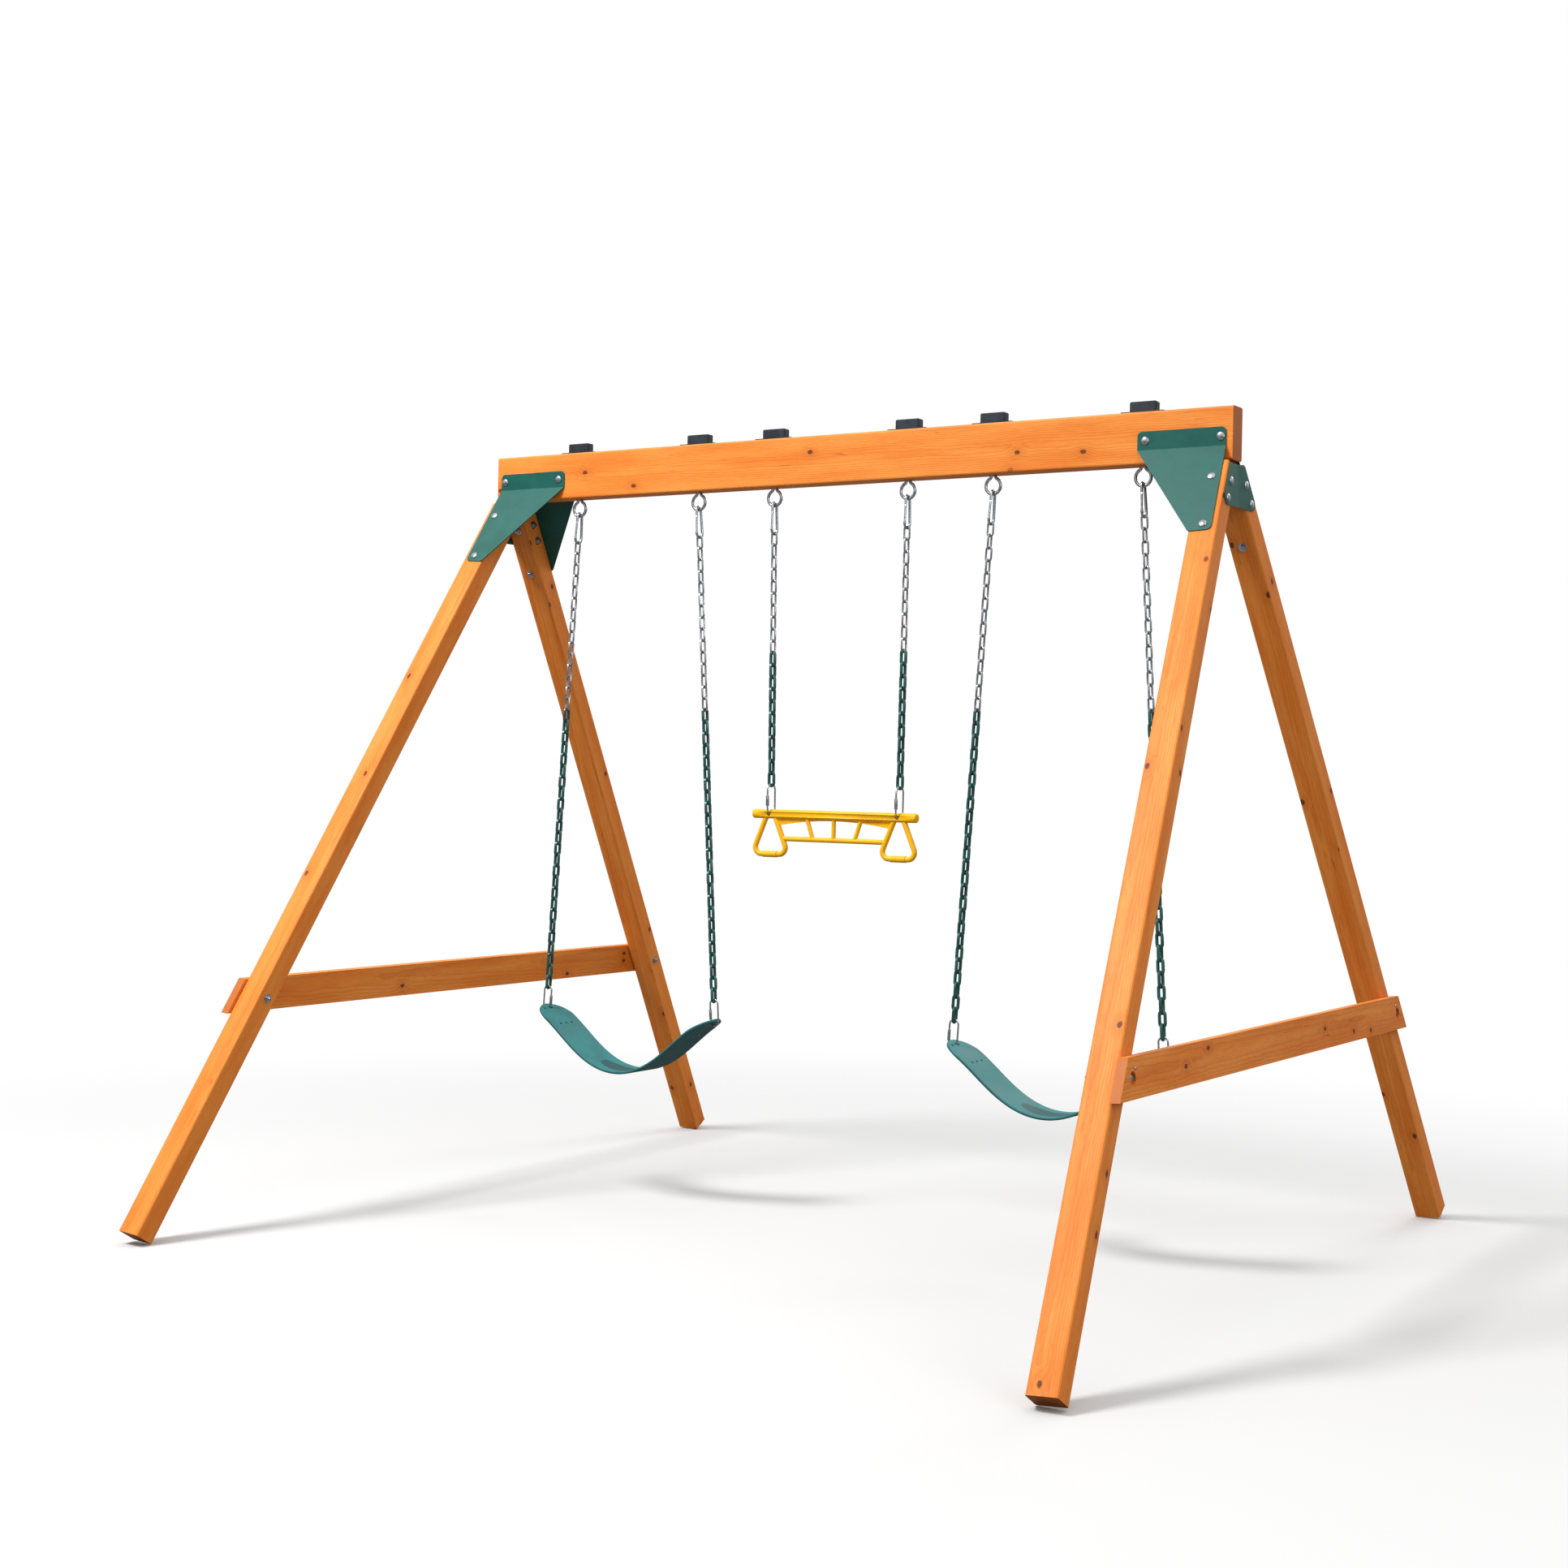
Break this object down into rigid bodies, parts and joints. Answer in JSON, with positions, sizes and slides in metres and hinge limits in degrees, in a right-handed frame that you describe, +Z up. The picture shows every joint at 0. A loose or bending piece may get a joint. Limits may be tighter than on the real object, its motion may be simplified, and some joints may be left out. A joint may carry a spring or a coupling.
{
  "type": "swing set",
  "caption": "Wooden A-frame swing set: a beam on splayed legs with corner plates, belt swings and a trapeze with hand rings on chains.",
  "frame": {"origin": "on the ground below the middle of the beam", "axes": "+X along the beam, -Y to the front, +Z up"},
  "size_m": [2.8092, 2.7044, 2.3139],
  "materials": {
    "wood": "satin stain",
    "green_steel": "powder coat",
    "zinc": "zinc plate",
    "chain": "soft vinyl dip over zinc",
    "cap": "matt moulded",
    "belt": "matt moulded",
    "yellow": "satin moulded"
  },
  "bodies": {
    "frame": {"beam": "wood", "beam_cap_left_swing_a": "cap", "beam_cap_left_swing_b": "cap", "beam_cap_right_swing_a": "cap", "beam_cap_right_swing_b": "cap", "beam_cap_trapeze_a": "cap", "beam_cap_trapeze_b": "cap", "brace_left": "wood", "brace_right": "wood", "corner_plate_front_left": "green_steel", "corner_plate_front_right": "green_steel", "corner_plate_rear_left": "green_steel", "corner_plate_rear_right": "green_steel", "end_plate_left": "green_steel", "end_plate_right": "green_steel", "eye_bolt_left_swing_a": "zinc", "eye_bolt_left_swing_b": "zinc", "eye_bolt_right_swing_a": "zinc", "eye_bolt_right_swing_b": "zinc", "eye_bolt_trapeze_a": "zinc", "eye_bolt_trapeze_b": "zinc", "leg_front_left": "wood", "leg_front_right": "wood", "leg_rear_left": "wood", "leg_rear_right": "wood"},
    "left_swing_chains": {"chain_left_swing_a": "chain", "chain_left_swing_b": "chain", "quick_link_left_swing_a": "zinc", "quick_link_left_swing_b": "zinc", "snap_hook_left_swing_a": "zinc", "snap_hook_left_swing_b": "zinc"},
    "trapeze_chains": {"chain_trapeze_a": "chain", "chain_trapeze_b": "chain", "quick_link_trapeze_a": "zinc", "quick_link_trapeze_b": "zinc", "snap_hook_trapeze_a": "zinc", "snap_hook_trapeze_b": "zinc"},
    "right_swing_chains": {"chain_right_swing_a": "chain", "chain_right_swing_b": "chain", "quick_link_right_swing_a": "zinc", "quick_link_right_swing_b": "zinc", "snap_hook_right_swing_a": "zinc", "snap_hook_right_swing_b": "zinc"},
    "left_seat": {"belt_seat_left": "belt"},
    "right_seat": {"belt_seat_right": "belt"},
    "trapeze": {"trapeze_bar": "yellow"},
    "gate_left_swing_a": {"hook_gate_left_swing_a": "zinc"},
    "sleeve_left_swing_a": {"link_sleeve_left_swing_a": "zinc"},
    "gate_left_swing_b": {"hook_gate_left_swing_b": "zinc"},
    "sleeve_left_swing_b": {"link_sleeve_left_swing_b": "zinc"},
    "gate_trapeze_a": {"hook_gate_trapeze_a": "zinc"},
    "sleeve_trapeze_a": {"link_sleeve_trapeze_a": "zinc"},
    "gate_trapeze_b": {"hook_gate_trapeze_b": "zinc"},
    "sleeve_trapeze_b": {"link_sleeve_trapeze_b": "zinc"},
    "gate_right_swing_a": {"hook_gate_right_swing_a": "zinc"},
    "sleeve_right_swing_a": {"link_sleeve_right_swing_a": "zinc"},
    "gate_right_swing_b": {"hook_gate_right_swing_b": "zinc"},
    "sleeve_right_swing_b": {"link_sleeve_right_swing_b": "zinc"}
  },
  "joints": [
    {"name": "left_swing", "type": "hinge", "parent": "frame", "child": "left_swing_chains", "pos_m": [-0.695, 0, 2.0915], "axis": [1, 0, 0], "range_deg": [-55, 55]},
    {"name": "trapeze_swing", "type": "hinge", "parent": "frame", "child": "trapeze_chains", "pos_m": [0.02, 0, 2.0915], "axis": [1, 0, 0], "range_deg": [-55, 55]},
    {"name": "right_swing", "type": "hinge", "parent": "frame", "child": "right_swing_chains", "pos_m": [0.735, 0, 2.0915], "axis": [1, 0, 0], "range_deg": [-55, 55]},
    {"name": "left_seat_tilt", "type": "hinge", "parent": "left_swing_chains", "child": "left_seat", "pos_m": [-0.695, 0, 0.56687], "axis": [1, 0, 0], "range_deg": [-25, 25]},
    {"name": "right_seat_tilt", "type": "hinge", "parent": "right_swing_chains", "child": "right_seat", "pos_m": [0.735, 0, 0.56687], "axis": [1, 0, 0], "range_deg": [-25, 25]},
    {"name": "trapeze_tilt", "type": "hinge", "parent": "trapeze_chains", "child": "trapeze", "pos_m": [0.02, 0, 1.20974], "axis": [1, 0, 0], "range_deg": [-35, 35]},
    {"name": "gate_left_swing_a", "type": "hinge", "parent": "left_swing_chains", "child": "gate_left_swing_a", "pos_m": [-0.91925, -0.01168, 2.07084], "axis": [0.9982, 0, -0.0604], "range_deg": [0, 24], "stiffness_Nm_per_rad": 0.05, "springref_deg": -8.59},
    {"name": "gate_left_swing_b", "type": "hinge", "parent": "left_swing_chains", "child": "gate_left_swing_b", "pos_m": [-0.47075, -0.01168, 2.07084], "axis": [0.9982, 0, 0.0604], "range_deg": [0, 24], "stiffness_Nm_per_rad": 0.05, "springref_deg": -8.59},
    {"name": "gate_trapeze_a", "type": "hinge", "parent": "trapeze_chains", "child": "gate_trapeze_a", "pos_m": [-0.20281, -0.01168, 2.0708], "axis": [1, 0, 0.0091], "range_deg": [0, 24], "stiffness_Nm_per_rad": 0.05, "springref_deg": -8.59},
    {"name": "gate_trapeze_b", "type": "hinge", "parent": "trapeze_chains", "child": "gate_trapeze_b", "pos_m": [0.24281, -0.01168, 2.0708], "axis": [1, 0, -0.0091], "range_deg": [0, 24], "stiffness_Nm_per_rad": 0.05, "springref_deg": -8.59},
    {"name": "gate_right_swing_a", "type": "hinge", "parent": "right_swing_chains", "child": "gate_right_swing_a", "pos_m": [0.51075, -0.01168, 2.07084], "axis": [0.9982, 0, -0.0604], "range_deg": [0, 24], "stiffness_Nm_per_rad": 0.05, "springref_deg": -8.59},
    {"name": "gate_right_swing_b", "type": "hinge", "parent": "right_swing_chains", "child": "gate_right_swing_b", "pos_m": [0.95925, -0.01168, 2.07084], "axis": [0.9982, 0, 0.0604], "range_deg": [0, 24], "stiffness_Nm_per_rad": 0.05, "springref_deg": -8.59},
    {"name": "sleeve_left_swing_a", "type": "slide", "parent": "left_swing_chains", "child": "sleeve_left_swing_a", "axis": [0.0604, 0, 0.9982], "range_m": [0, 0.012]},
    {"name": "sleeve_left_swing_b", "type": "slide", "parent": "left_swing_chains", "child": "sleeve_left_swing_b", "axis": [-0.0604, 0, 0.9982], "range_m": [0, 0.012]},
    {"name": "sleeve_trapeze_a", "type": "slide", "parent": "trapeze_chains", "child": "sleeve_trapeze_a", "axis": [-0.0091, 0, 1], "range_m": [0, 0.012]},
    {"name": "sleeve_trapeze_b", "type": "slide", "parent": "trapeze_chains", "child": "sleeve_trapeze_b", "axis": [0.0091, 0, 1], "range_m": [0, 0.012]},
    {"name": "sleeve_right_swing_a", "type": "slide", "parent": "right_swing_chains", "child": "sleeve_right_swing_a", "axis": [0.0604, 0, 0.9982], "range_m": [0, 0.012]},
    {"name": "sleeve_right_swing_b", "type": "slide", "parent": "right_swing_chains", "child": "sleeve_right_swing_b", "axis": [-0.0604, 0, 0.9982], "range_m": [0, 0.012]}
  ]
}
